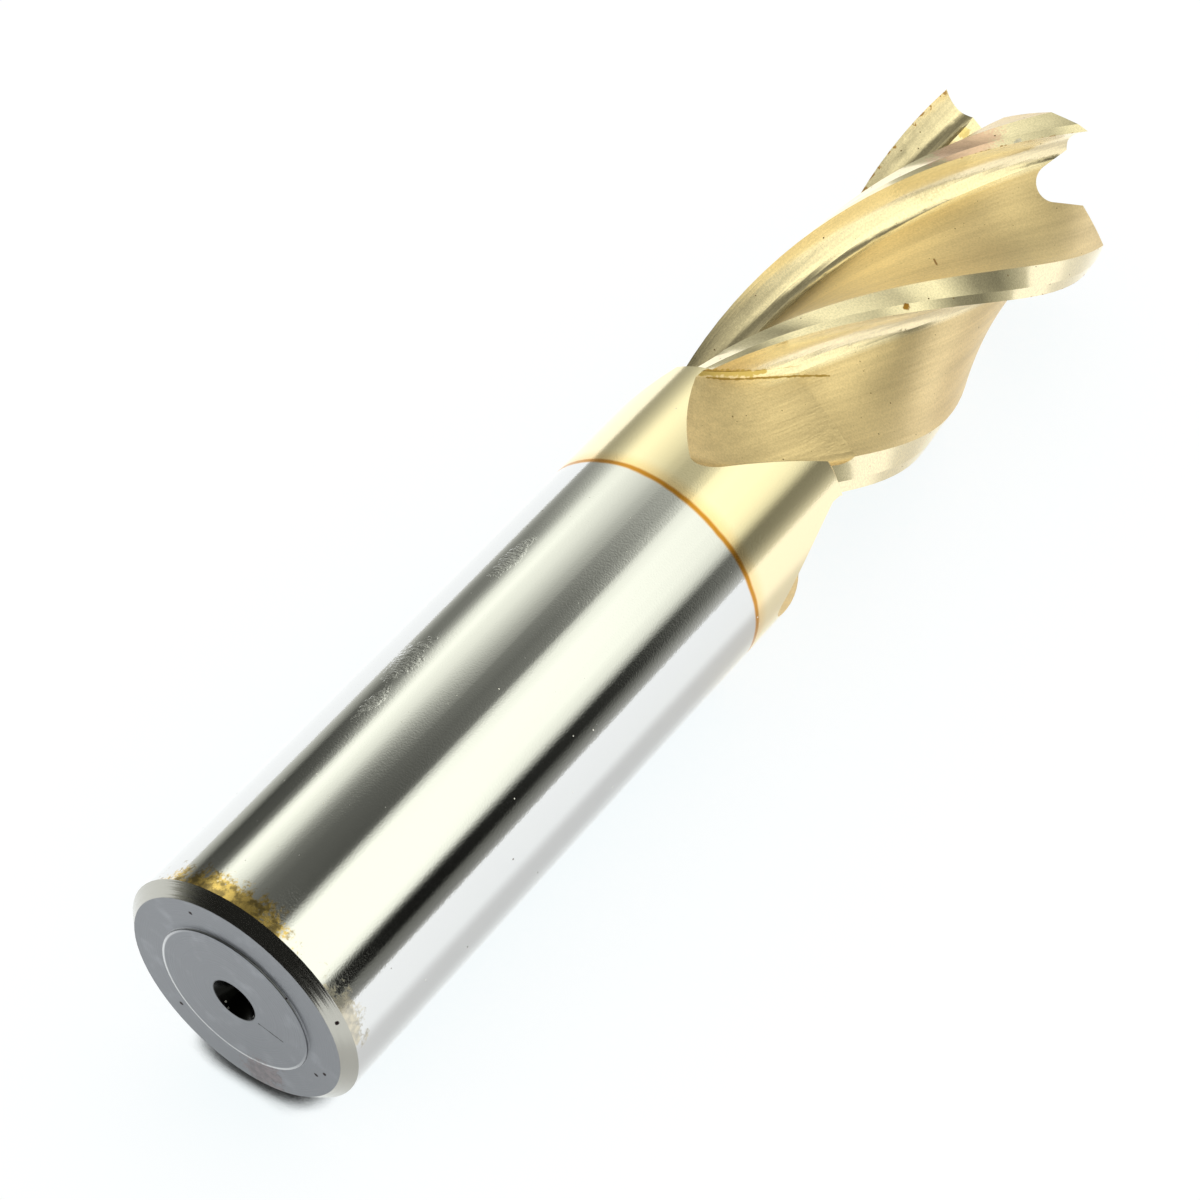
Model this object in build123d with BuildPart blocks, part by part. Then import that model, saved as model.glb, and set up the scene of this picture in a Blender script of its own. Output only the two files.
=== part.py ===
"""Four-flute square end mill with a plain round shank, one solid piece of high-speed steel.

The tool stands on its shank end with the cutting end up. The axis is +Z, Z is 0 on the raised
centre pad of the shank end, and one cutting corner points along +X. Lengths are in millimetres
and angles in degrees. The flutes have the form that a grinding wheel leaves when it follows the
helix from the tip and stops: the wheel's rim gives their rake face and crease, and the wheel's round
gives the pocket in which each flute runs out into the shank.
"""

import os
from math import asin, atan, atan2, cos, degrees, hypot, radians, sin, tan

from build123d import *

# Overall sizes
shank_diameter = 20.0
cutter_diameter = 19.3
overall_length = 104.0
cutting_length = 42.1
tooth_count = 4
helix_angle = 30.0

# Shank end, faced around a raised pad
shank_chamfer = 0.9
pad_diameter = 12.8
pad_height = 0.2
pad_fillet = 0.15

# Centre holes, where the blank turned between centres
centre_angle = 60.0
shank_centre_diameter = 3.7
shank_pilot_diameter = 1.6
shank_pilot_depth = 4.5
tip_centre_diameter = 6.0
tip_pilot_diameter = 2.5
tip_pilot_depth = 7.0

# Land behind each cutting edge, with two flat reliefs that end in the shoulder's slope
primary_width = 0.92
primary_relief = 10.0
secondary_relief = 20.0
shoulder_slope = 45.0

# Back of each tooth, a long round from the flute's crease to the heel corner behind the land
heel_angle = 19.3
heel_drop = 0.7
back_radius = 28.0

# Form wheel that grinds one flute, and how far from the tip it stops
wheel_radius = 21.45
wheel_distance = 27.25
wheel_set_angle = 35.0
wheel_stop = 40.7
rim_width = 9.4
rim_offset = 4.7
rim_taper = 5.5
rim_bevel_width = 0.45
rim_bevel_height = 0.28
rim_corner_radius = 1.6

# End teeth, each with a gash in front of its edge
dish_angle = 2.0
end_edge_lead = 0.3
end_primary_width = 1.2
end_primary_relief = 8.0
end_secondary_relief = 16.0
gash_angle = 38.0
gash_rake = 7.4
gash_opening = 40.0
gash_reach = -5.0
gash_radius = 1.6

# Clearance by which one cutting body stays inside another, so that no two faces coincide
slack = 0.03

cutter_radius = cutter_diameter / 2
shank_radius = shank_diameter / 2
pad_radius = pad_diameter / 2
heel_radius = cutter_radius - heel_drop
stock_radius = max(shank_radius, cutter_radius + 10 * slack)
outside = 1.4 * stock_radius
lead_per_radian = cutter_radius / tan(radians(helix_angle))
twist_per_mm = degrees(1 / lead_per_radian)
wheel_height = overall_length - wheel_stop
land_start = overall_length - cutting_length
shoulder_start = land_start - abs(shank_radius - cutter_radius) / tan(radians(shoulder_slope))
set_angle = radians(wheel_set_angle)
tooth_angles = [360 / tooth_count * tooth for tooth in range(tooth_count)]


def steps(start, end, count):
    """Gives evenly spaced values from start to end, both included."""
    return [start + (end - start) * i / (count - 1) for i in range(count)]


def wheel_point(offset, radius, angle):
    """Gives a point of the wheel, with the wheel's centre on +X at height 0."""
    return (
        wheel_distance - radius * cos(angle),
        offset * cos(set_angle) + radius * sin(angle) * sin(set_angle),
        radius * sin(angle) * cos(set_angle) - offset * sin(set_angle),
    )


def section_point(offset, radius, angle):
    """Follows a wheel point along the helix to the level of the wheel's centre."""
    x, y, z = wheel_point(offset, radius, angle)
    turn = atan2(y, x) - z / lead_per_radian
    reach = hypot(x, y)
    return reach * cos(turn), reach * sin(turn)


def contact_angle(offset, radius, tilt):
    """Gives where on the wheel it touches the flute, for a rim whose face tilts by tilt."""
    across = cos(set_angle) * (offset * cos(tilt) - radius * sin(tilt))
    along = cos(tilt) * (wheel_distance * sin(set_angle) + lead_per_radian * cos(set_angle))
    rest = sin(tilt) * (wheel_distance * cos(set_angle) - lead_per_radian * sin(set_angle))
    return -asin(rest / hypot(across, along)) - atan2(across, along)


def contact_point(offset, radius, tilt):
    """Gives the same place as a point in the tool's frame, with the wheel at its stop."""
    x, y, z = wheel_point(offset, radius, contact_angle(offset, radius, tilt))
    return Vector(x, y, wheel_height + z)


def corner_place(tilt):
    """Gives the offset and radius at which the rim's rounded corner tilts by tilt."""
    offset = corner_offset + rim_corner_radius * sin(tilt)
    return offset, corner_centre_radius + rim_corner_radius * cos(tilt)


# Rim of the wheel, from its rake side to its heel side
rake_side = -rim_offset
heel_side = rake_side + rim_width
bevel_end = rake_side + rim_bevel_width
bevel_radius = wheel_radius - rim_bevel_height
bevel_tilt = -atan(rim_bevel_height / rim_bevel_width)
taper = radians(rim_taper)
corner_offset = heel_side - rim_corner_radius
taper_end = corner_offset + rim_corner_radius * sin(taper)
taper_end_radius = wheel_radius - (taper_end - bevel_end) * tan(taper)
corner_centre_radius = taper_end_radius - rim_corner_radius * cos(taper)

# Section of the flute up to its floor: the rake face and the bevelled crease that the rim leaves
rake_start = -0.36
rake_end = contact_angle(rake_side, bevel_radius, bevel_tilt)
rake_points = [
    section_point(rake_side, bevel_radius, angle) for angle in steps(rake_start, rake_end, 6)
]
crease_start = contact_angle(bevel_end, wheel_radius, bevel_tilt)
crease_end = contact_angle(bevel_end, wheel_radius, taper)
crease_points = [
    section_point(bevel_end, wheel_radius, angle) for angle in steps(crease_start, crease_end, 3)
]

# Cutting corner of that section, and the heel corner of the tooth across the flute from it
edge_low, edge_high = rake_start, rake_end
while edge_high - edge_low > 1e-7:
    edge_angle = (edge_low + edge_high) / 2
    if hypot(*section_point(rake_side, bevel_radius, edge_angle)) > cutter_radius:
        edge_low = edge_angle
    else:
        edge_high = edge_angle
edge_x, edge_y = section_point(rake_side, bevel_radius, edge_angle)
heel_turn = atan2(edge_y, edge_x) + radians(360 / tooth_count - heel_angle)
heel_corner = (heel_radius * cos(heel_turn), heel_radius * sin(heel_turn))

# Turn of the flutes about the axis that brings a cutting corner onto +X at the tip
flute_turn = -degrees(atan2(edge_y, edge_x)) - twist_per_mm * wheel_stop

# Wheel at its stop, a little smaller than the path that it leaves
wheel_axis = Vector(0, cos(set_angle), -sin(set_angle))
wheel_centre = Vector(wheel_distance, 0, wheel_height)
wheel_plane = Plane(
    origin=wheel_centre, x_dir=wheel_axis, z_dir=wheel_axis.cross(Vector(-1, 0, 0))
)
with BuildPart() as wheel:
    with BuildSketch(wheel_plane):
        with BuildLine():
            Polyline(
                (heel_side - slack, corner_centre_radius),
                (heel_side - slack, 1),
                (rake_side + slack / 3, 1),
                (rake_side + slack / 3, bevel_radius - slack),
                (bevel_end, wheel_radius - slack),
                (taper_end, taper_end_radius - slack),
            )
            RadiusArc(
                (taper_end, taper_end_radius - slack),
                (heel_side - slack, corner_centre_radius),
                rim_corner_radius,
            )
        make_face()
    revolve(axis=Axis(wheel_centre, wheel_axis))

# Path of the wheel from its stop to beyond the tip, as a twisted bar
path_start = wheel_height - 10
path_length = overall_length + 3 - path_start
with BuildSketch(Plane.XY.offset(path_start)) as flute_section:
    with BuildLine():
        Spline(*rake_points)
        Line(rake_points[-1], crease_points[0])
        Spline(*crease_points)
        back = RadiusArc(crease_points[-1], heel_corner, -back_radius)
        rise = Line(back @ 1, back @ 1 + (back % 1) * (outside - heel_radius))
        Polyline(rise @ 1, (outside, 0.4 * outside), (outside, -outside), rake_points[0])
    make_face()
path = Solid.extrude_linear_with_rotation(
    flute_section.sketch.face().rotate(Axis.Z, -twist_per_mm * (wheel_height - path_start)),
    (0, 0, path_start),
    (0, 0, path_length),
    twist_per_mm * path_length,
)

# Part of that bar below the line where the stopped wheel touches the flute, which stays uncut
floor_near = contact_point(bevel_end, wheel_radius, taper)
floor_far = contact_point(taper_end, taper_end_radius, taper)
heel_high = contact_point(*corner_place(radians(70)), radians(70))
near_slope = (floor_near.Z - floor_far.Z) / (floor_far.Y - floor_near.Y)
far_slope = (heel_high.Z - floor_far.Z) / (heel_high.Y - floor_far.Y)
with BuildPart() as uncut:
    with BuildSketch(Plane.YZ):
        Polygon(
            (floor_far.Y, floor_far.Z),
            (floor_far.Y - shank_radius, floor_far.Z + shank_radius * near_slope),
            (floor_far.Y - outside, 0),
            (floor_far.Y + outside, 0),
            (floor_far.Y + outside, floor_far.Z + outside * far_slope),
            align=None,
        )
    extrude(amount=4 * outside, both=True)
    split(
        bisect_by=Plane(origin=wheel_centre + wheel_axis * (rake_side + slack), z_dir=wheel_axis),
        keep=Keep.TOP,
    )
with BuildPart() as flute:
    add(path)
    add(uncut.part, mode=Mode.SUBTRACT)

# Section outside the lands: the primary relief starts ahead of the edge and passes through it
primary = radians(primary_relief)
secondary = radians(secondary_relief)
primary_end_x = cutter_radius - primary_width * sin(primary)
primary_end_y = -primary_width * cos(primary)
ahead = 0.16 * cutter_radius
behind = 0.42 * cutter_radius
land_points = []
for angle in reversed(tooth_angles):
    turn = radians(angle)
    for x, y in (
        (cutter_radius + ahead * sin(primary), ahead * cos(primary)),
        (primary_end_x, primary_end_y),
        (primary_end_x - behind * sin(secondary), primary_end_y - behind * cos(secondary)),
    ):
        land_points.append((x * cos(turn) - y * sin(turn), x * sin(turn) + y * cos(turn)))

# Twisted ring that leaves the lands, with the shoulder's slope at its lower end
ring_start = land_start - stock_radius
ring_length = overall_length + 1 - ring_start
with BuildSketch(Plane.XY.offset(ring_start)) as ring_section:
    Circle(outside)
    Polygon(*land_points, align=None, mode=Mode.SUBTRACT)
ring = Solid.extrude_linear_with_rotation(
    ring_section.sketch.face().rotate(Axis.Z, -twist_per_mm * (overall_length - ring_start)),
    (0, 0, ring_start),
    (0, 0, ring_length),
    twist_per_mm * ring_length,
)
slope_rise = tan(radians(shoulder_slope))
with BuildPart() as shoulder:
    with BuildSketch(Plane.XZ):
        Polygon(
            (0, ring_start - 1),
            (2 * outside, ring_start - 1),
            (2 * outside, land_start - (2 * outside - cutter_radius) * slope_rise),
            (cutter_radius / 2, land_start + cutter_radius / 2 * slope_rise),
            (0, land_start + cutter_radius / 2 * slope_rise),
            align=None,
        )
    revolve(axis=Axis.Z)
with BuildPart() as relief:
    add(ring)
    add(shoulder.part, mode=Mode.SUBTRACT)

# Space above one end tooth: the quarter behind its edge, with the edge dished towards the centre
end_depth = radians(end_primary_relief)
end_secondary = radians(end_secondary_relief)
dish = radians(dish_angle)
primary_drop = end_primary_width * tan(end_depth)
end_drop = primary_drop + (cutter_radius - end_primary_width) * tan(end_secondary)
end_plane = Plane(
    origin=(cutter_radius, end_edge_lead, overall_length),
    x_dir=(0, -1, 0),
    z_dir=(-cos(dish), 0, -sin(dish)),
)
with BuildPart() as end_space:
    with BuildSketch(end_plane):
        Polygon(
            (0, 0),
            (end_primary_width, -primary_drop),
            (cutter_radius, -end_drop),
            (cutter_radius, 1),
            (0, 1),
            align=None,
        )
    extrude(amount=cutter_radius)
    extrude(faces().sort_by(Axis.X)[-1], amount=1)
    split(bisect_by=Plane.YZ.offset(end_edge_lead), keep=Keep.TOP)

# Gash in front of that edge: a rake face, a floor that falls outwards, and a round between them
fall = radians(gash_angle)
tilt = radians(gash_rake)
face_down = Vector(0, -sin(tilt), -cos(tilt))
gash_line = Vector(1, 0, 0) * cos(fall) + face_down * sin(fall)
gash_plane = Plane(
    origin=(gash_reach, end_edge_lead, overall_length),
    x_dir=Vector(1, 0, 0).cross(face_down),
    z_dir=gash_line,
)
opening = radians(gash_opening)
with BuildPart() as gash:
    with BuildSketch(gash_plane):
        Polygon(
            (0, 0),
            (2 * outside * sin(opening), 2 * outside * cos(opening)),
            (2 * outside * sin(opening), 2 * outside),
            (0, 2 * outside),
            align=None,
        )
        fillet(vertices().sort_by_distance((0, 0))[0], gash_radius)
    extrude(amount=2 * outside, both=True)

# Bar with the shank ground and both centre holes drilled, the head still at stock size
with BuildPart() as end_mill:
    with BuildSketch(Plane.XZ):
        with BuildLine():
            Polyline(
                (0, 0),
                (pad_radius, 0),
                (pad_radius, pad_height),
                (shank_radius - shank_chamfer, pad_height),
                (shank_radius, pad_height + shank_chamfer),
                (shank_radius, shoulder_start),
                (0, shoulder_start),
                close=True,
            )
        make_face()
        fillet(vertices().sort_by_distance((pad_radius, pad_height))[0], pad_fillet)
    revolve(axis=Axis.Z)
    with Locations((0, 0, shoulder_start)):
        Cylinder(
            stock_radius,
            overall_length - shoulder_start,
            align=(Align.CENTER, Align.CENTER, Align.MIN),
        )
    add(relief.part, mode=Mode.SUBTRACT)
    with Locations(Rotation(180, 0, 0)):
        CounterSinkHole(
            shank_pilot_diameter / 2, shank_centre_diameter / 2, shank_pilot_depth, centre_angle
        )
    with Locations((0, 0, overall_length)):
        CounterSinkHole(
            tip_pilot_diameter / 2, tip_centre_diameter / 2, tip_pilot_depth, centre_angle
        )
    for angle in tooth_angles:
        add(flute.part.rotate(Axis.Z, angle + flute_turn), mode=Mode.SUBTRACT)
        add(wheel.part.rotate(Axis.Z, angle + flute_turn), mode=Mode.SUBTRACT)
    for angle in tooth_angles:
        add(gash.part.rotate(Axis.Z, angle), mode=Mode.SUBTRACT)
        add(end_space.part.rotate(Axis.Z, angle), mode=Mode.SUBTRACT)
end_mill.part.label = "end_mill"

os.makedirs("parts", exist_ok=True)
export_step(end_mill.part, "parts/end_mill.step")
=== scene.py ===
"""Looks of a four-flute square end mill: bright ground shank and gold-coated cutting end.

The tool stands on its shank end with its axis along +Z, as the frame has it. Lengths are in
metres, except in the materials, which measure the tool in millimetres. The camera keeps the
photograph's view of the tool, from beside and below its shank end.
"""

from __future__ import annotations

import logging
import math
from dataclasses import dataclass
from enum import Enum, IntEnum

import bpy
from mathutils import Matrix, Vector

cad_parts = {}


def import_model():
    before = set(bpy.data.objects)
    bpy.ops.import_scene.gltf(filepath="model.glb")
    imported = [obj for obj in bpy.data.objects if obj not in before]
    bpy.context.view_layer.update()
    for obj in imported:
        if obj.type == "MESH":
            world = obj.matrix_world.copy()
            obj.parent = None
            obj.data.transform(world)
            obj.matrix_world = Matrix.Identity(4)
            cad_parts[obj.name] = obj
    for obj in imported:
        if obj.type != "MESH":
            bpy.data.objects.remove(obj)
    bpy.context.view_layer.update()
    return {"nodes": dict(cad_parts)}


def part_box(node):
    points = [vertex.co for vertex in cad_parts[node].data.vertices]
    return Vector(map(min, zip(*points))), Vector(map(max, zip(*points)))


LOG = logging.getLogger("end_mill")
MM = 0.001
NODE = "end_mill"

# Direction that faces away from the table, which touches the side of the shank
TABLE_NORMAL = Vector((0.811, -0.585, 0.0)).normalized()
TABLE_TURN = math.atan2(TABLE_NORMAL.y, TABLE_NORMAL.x)
# Direction across the tool in the plane of the table
ACROSS = Vector((0, 0, 1)).cross(TABLE_NORMAL)

Colour = tuple[float, float, float]
Place = tuple[float, float, float]
Range = tuple[float, float]
Socket = bpy.types.NodeSocket
Outputs = bpy.types.NodeOutputs
Group = bpy.types.NodeTree


class Surface(IntEnum):
    """Kinds of surface on the tool, each with its own material slot."""

    SHANK = 0
    LAND = 1
    FLUTE = 2
    END = 3


class MixKind(Enum):
    """Kinds of value that a Mix node takes, with the places of its two inputs and its output."""

    NUMBER = ("FLOAT", 2, 3, 0)
    COLOUR = ("RGBA", 6, 7, 2)


@dataclass(frozen=True)
class ToolForm:
    """Sizes of the tool that its finishes follow.

    Args:
        shank_radius: Radius of the plain shank.
        length: Height of the tool's tip.
        teeth: Number of cutting edges.
        coat_line: Height at which the coating starts.
        end_height: Height up to which the turned shank end reaches.
        land_start: Height at which the lands start.
        lead: Turn of the flutes about the axis, in radians for each metre of height.
    """

    shank_radius: float
    length: float
    teeth: int = 4
    coat_line: float = 49.3 * MM
    end_height: float = 1.12 * MM
    land_start: float = 61.5 * MM
    lead: float = math.tan(math.radians(30)) / (9.65 * MM)

    @classmethod
    def from_frame(cls) -> ToolForm:
        """Reads the tool's radius and length from its node."""
        _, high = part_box(NODE)
        return cls(shank_radius=high.x, length=high.z)


@dataclass(frozen=True)
class Cloud:
    """Cloudy number over a surface, from the middle levels of a noise.

    Args:
        scale: Scale of the noise, for each millimetre.
        detail: Levels of finer noise in it.
        low: Level of the noise that gives the start.
        high: Level of the noise that gives the end.
        start: Number at the low level.
        end: Number at the high level.
    """

    scale: float
    detail: float
    low: float
    high: float
    start: float = 0.0
    end: float = 1.0


def grey(level: float) -> Colour:
    """Gives a neutral colour of one level."""
    return (level, level, level)


def rgba(colour: Colour) -> tuple[float, float, float, float]:
    """Gives a colour with full opacity."""
    return (*colour, 1.0)


class NodeTree:
    """Adds nodes to one node tree and joins them.

    Each value that a method takes is a plain one or an output that gives it, and each method
    that works something out gives the output that has the result.
    """

    def __init__(self, tree: Group) -> None:
        """Empties a tree and keeps it."""
        self.tree = tree
        tree.nodes.clear()

    def add(self, kind: str, **settings: object) -> bpy.types.Node:
        """Adds a node.

        Args:
            kind: Blender's name of the node type.
            settings: Properties of the node.

        Returns:
            The new node.
        """
        node = self.tree.nodes.new(kind)
        for name, value in settings.items():
            setattr(node, name, value)
        return node

    def join(self, value: object, socket: Socket) -> None:
        """Links an output to a socket, or sets the socket to a plain value.

        Args:
            value: The output or the plain value.
            socket: Input that takes it.
        """
        if isinstance(value, bpy.types.NodeSocket):
            self.tree.links.new(value, socket)
        else:
            socket.default_value = value

    def feed(self, node: bpy.types.Node, *values: object, **named: object) -> bpy.types.Node:
        """Gives a node its inputs.

        Args:
            node: The node.
            values: Its first inputs in order.
            named: Other inputs by name.

        Returns:
            The same node.
        """
        for value, socket in zip(values, node.inputs):
            self.join(value, socket)
        for name, value in named.items():
            self.join(value, node.inputs[name])
        return node

    def use(self, group: Group, **values: object) -> Outputs:
        """Places a node group, gives it its inputs by name and gives its outputs."""
        return self.feed(self.add("ShaderNodeGroup", node_tree=group), **values).outputs

    def math(self, operation: str, *values: object, clamp: bool = False) -> Socket:
        """Works out a number from one to three others."""
        node = self.add("ShaderNodeMath", operation=operation, use_clamp=clamp)
        return self.feed(node, *values).outputs[0]

    def vector(self, operation: str, *values: object) -> Socket:
        """Works out a vector, or a length or dot product, from one or two vectors."""
        node = self.feed(self.add("ShaderNodeVectorMath", operation=operation), *values)
        return node.outputs["Value" if operation in ("LENGTH", "DOT_PRODUCT") else "Vector"]

    def scale(self, vector: object, amount: object) -> Socket:
        """Makes a vector longer or shorter."""
        node = self.add("ShaderNodeVectorMath", operation="SCALE")
        return self.feed(node, vector, Scale=amount).outputs[0]

    def combine(self, x: object, y: object, z: object) -> Socket:
        """Makes a vector of three numbers."""
        return self.feed(self.add("ShaderNodeCombineXYZ"), x, y, z).outputs[0]

    def split(self, vector: object) -> tuple[Socket, ...]:
        """Gives the numbers of a vector along X, Y and Z."""
        return tuple(self.feed(self.add("ShaderNodeSeparateXYZ"), vector).outputs)

    def mix_kind(self, kind: MixKind, factor: object, first: object, second: object) -> Socket:
        """Mixes two values by a factor.

        Args:
            kind: Kind of the values.
            factor: Share of the second value, from 0 to 1.
            first: First value.
            second: Second value.

        Returns:
            The mixed value.
        """
        data_type, low, high, result = kind.value
        node = self.add("ShaderNodeMix", data_type=data_type, clamp_factor=True)
        for value, place in ((factor, 0), (first, low), (second, high)):
            self.join(value, node.inputs[place])
        return node.outputs[result]

    def mix(self, factor: object, first: object, second: object) -> Socket:
        """Mixes two colours by a factor."""
        return self.mix_kind(MixKind.COLOUR, factor, first, second)

    def blend(self, factor: object, first: object, second: object) -> Socket:
        """Mixes two numbers by a factor."""
        return self.mix_kind(MixKind.NUMBER, factor, first, second)

    def span(
        self, value: object, low: object, high: object, start: object = 0.0, end: object = 1.0
    ) -> Socket:
        """Maps a number between two others to start and end, with a smooth and limited change."""
        node = self.add("ShaderNodeMapRange", interpolation_type="SMOOTHSTEP", clamp=True)
        return self.feed(node, value, low, high, start, end).outputs[0]

    def noise(self, vector: object, scale: object, detail: float) -> Socket:
        """Makes a noise from 0 to 1, with a number of finer levels in it."""
        node = self.add("ShaderNodeTexNoise")
        return self.feed(node, Vector=vector, Scale=scale, Detail=detail).outputs[0]

    def cloud(self, point: object, cloud: Cloud) -> Socket:
        """Makes a cloudy number over a surface."""
        level = self.noise(point, cloud.scale, cloud.detail)
        return self.span(level, cloud.low, cloud.high, cloud.start, cloud.end)

    def ramp(self, factor: object, stops: list[tuple[float, Colour]]) -> Socket:
        """Turns a number into a colour between stops.

        Args:
            factor: The number, from 0 to 1.
            stops: Places of the stops, from 0 to 1, and their colours.

        Returns:
            The colour.
        """
        node = self.feed(self.add("ShaderNodeValToRGB"), factor)
        points = node.color_ramp.elements
        while len(points) > 1:
            points.remove(points[-1])
        points[0].position = stops[0][0]
        points[0].color = rgba(stops[0][1])
        for place, colour in stops[1:]:
            points.new(place).color = rgba(colour)
        return node.outputs[0]

    def bump(self, height: object, depth: float, **under: object) -> Socket:
        """Turns a height into a normal, for a relief of a depth in metres, over another normal."""
        node = self.add("ShaderNodeBump")
        return self.feed(node, Distance=depth, Height=height, **under).outputs[0]


@dataclass
class Effects:
    """Node groups that the tool's materials share. Their lengths are in millimetres.

    Args:
        form: The tool's sizes.
        creep: Change of the unwound point for each millimetre along the axis.
        core: Share of a pit or patch, from its centre out, that is solid.
        speck_depth: How far the specks in a patch's rim reach, as a share of the patch.
        tone: Lighter and darker spots in a patch.
        uneven: Width of a stroke along it, as a share of its plain width.
        stroke_core: Share of a stroke's width that is solid.
        speckle: Fine speckle of the coating, as a level of its colour.
        worn_reach: How far behind the edge the coating is worn off.
        worn_heights: Height at which wear starts, and from which it is full.
        worn_radius: Radius outside which the coating wears.
    """

    form: ToolForm
    creep: float = 0.035
    core: float = 0.6
    speck_depth: float = 0.9
    tone: Cloud = Cloud(scale=1.8, detail=5.0, low=0.36, high=0.60)
    uneven: Cloud = Cloud(scale=2.5, detail=4.0, low=0.35, high=0.65, start=0.6, end=1.3)
    stroke_core: float = 0.5
    speckle: Cloud = Cloud(scale=6.0, detail=2.0, low=0.25, high=0.75, start=0.90, end=1.06)
    worn_reach: Cloud = Cloud(scale=2.2, detail=4.0, low=0.52, high=0.72, end=0.30)
    worn_heights: Range = (84.0, 98.0)
    worn_radius: float = 9.3

    def __post_init__(self) -> None:
        """Builds each group once."""
        self.place = self.build_place()
        self.pits = self.build_pits()
        self.patch = self.build_patch()
        self.stroke = self.build_stroke()
        self.lines = self.build_lines()
        self.grain = self.build_grain()
        self.wear = self.build_wear()

    def start(
        self, name: str, inputs: dict[str, str], outputs: dict[str, str]
    ) -> tuple[NodeTree, Outputs, bpy.types.NodeInputs]:
        """Starts a node group.

        Args:
            name: Name of the group.
            inputs: Kind of each input socket by name.
            outputs: Kind of each output socket by name.

        Returns:
            The group's tree, what its inputs give and where its outputs go.
        """
        tree = bpy.data.node_groups.new(name, "ShaderNodeTree")
        for direction, sockets in (("INPUT", inputs), ("OUTPUT", outputs)):
            for label, kind in sockets.items():
                socket_type = f"NodeSocket{kind}"
                tree.interface.new_socket(label, in_out=direction, socket_type=socket_type)
        nodes = NodeTree(tree)
        given = nodes.add("NodeGroupInput").outputs
        taken = nodes.add("NodeGroupOutput").inputs
        return nodes, given, taken

    def build_place(self) -> Group:
        """Gives where a point is on the tool.

        Its outputs are the point itself, its radius and height, its distance behind the nearest
        cutting edge, and the point unwound along the helix, so that it's nearly the same all
        along a flute.

        Returns:
            The group.
        """
        outputs = {"Point": "Vector", "Radius": "Float", "Height": "Float", "Behind": "Float"}
        outputs["Unwound"] = "Vector"
        nodes, _, taken = self.start("tool_place", {}, outputs)
        point = nodes.scale(nodes.add("ShaderNodeTexCoord").outputs["Object"], 1 / MM)
        x, y, z = nodes.split(point)
        radius = nodes.math("SQRT", nodes.math("MULTIPLY_ADD", x, x, nodes.math("MULTIPLY", y, y)))
        lead = self.form.lead * MM
        pitch = math.tau / self.form.teeth
        above = nodes.math("MULTIPLY_ADD", z, -lead, self.form.length / MM * lead)
        phase = nodes.math("ADD", nodes.math("ARCTAN2", y, x), above)
        share = nodes.math("FRACT", nodes.math("MULTIPLY_ADD", phase, 1 / pitch, 0.5))
        share = nodes.math("SUBTRACT", share, 0.5)
        behind = nodes.math("MULTIPLY", nodes.math("MULTIPLY", share, -pitch), radius)
        unwound = nodes.combine(
            nodes.math("MULTIPLY", nodes.math("COSINE", phase), radius),
            nodes.math("MULTIPLY", nodes.math("SINE", phase), radius),
            nodes.math("MULTIPLY", z, self.creep),
        )
        for name, value in zip(outputs, (point, radius, z, behind, unwound)):
            nodes.join(value, taken[name])
        return nodes.tree

    def build_pits(self) -> Group:
        """Scatters small round spots over a share of equal cells.

        Returns:
            The group.
        """
        inputs = {"Point": "Vector", "Scale": "Float", "Size": "Float", "Share": "Float"}
        nodes, given, taken = self.start("pits", inputs, {"Mask": "Float"})
        cells = nodes.add("ShaderNodeTexVoronoi", feature="F1")
        cells = nodes.feed(cells, Vector=given["Point"], Scale=given["Scale"]).outputs
        chance = nodes.feed(nodes.add("ShaderNodeSeparateColor"), cells["Color"]).outputs
        size = nodes.math("MULTIPLY", given["Size"], chance["Green"])
        core = nodes.math("MULTIPLY", size, self.core)
        spot = nodes.span(cells["Distance"], size, core)
        chosen = nodes.math("LESS_THAN", chance["Red"], given["Share"])
        nodes.join(nodes.math("MULTIPLY", spot, chosen), taken["Mask"])
        return nodes.tree

    def build_patch(self) -> Group:
        """Makes one ragged patch around a centre, with a speckled rim.

        Returns:
            The group.
        """
        inputs = {"Point": "Vector", "Centre": "Vector", "Reach": "Vector"}
        inputs.update({"Ragged": "Float", "Grain": "Float"})
        nodes, given, taken = self.start("patch", inputs, {"Mask": "Float", "Tone": "Float"})
        apart = nodes.vector("SUBTRACT", given["Point"], given["Centre"])
        far = nodes.vector("LENGTH", nodes.vector("DIVIDE", apart, given["Reach"]))
        ragged = nodes.noise(given["Point"], given["Grain"], detail=5.0)
        ragged = nodes.math("SUBTRACT", ragged, 0.5)
        far = nodes.math("MULTIPLY_ADD", ragged, given["Ragged"], far)
        speck = nodes.noise(given["Point"], scale=4.5, detail=2.0)
        speck = nodes.math("SUBTRACT", speck, 0.5)
        far = nodes.math("MULTIPLY_ADD", speck, self.speck_depth, far)
        nodes.join(nodes.span(far, 1.0, self.core), taken["Mask"])
        nodes.join(nodes.cloud(given["Point"], self.tone), taken["Tone"])
        return nodes.tree

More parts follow.
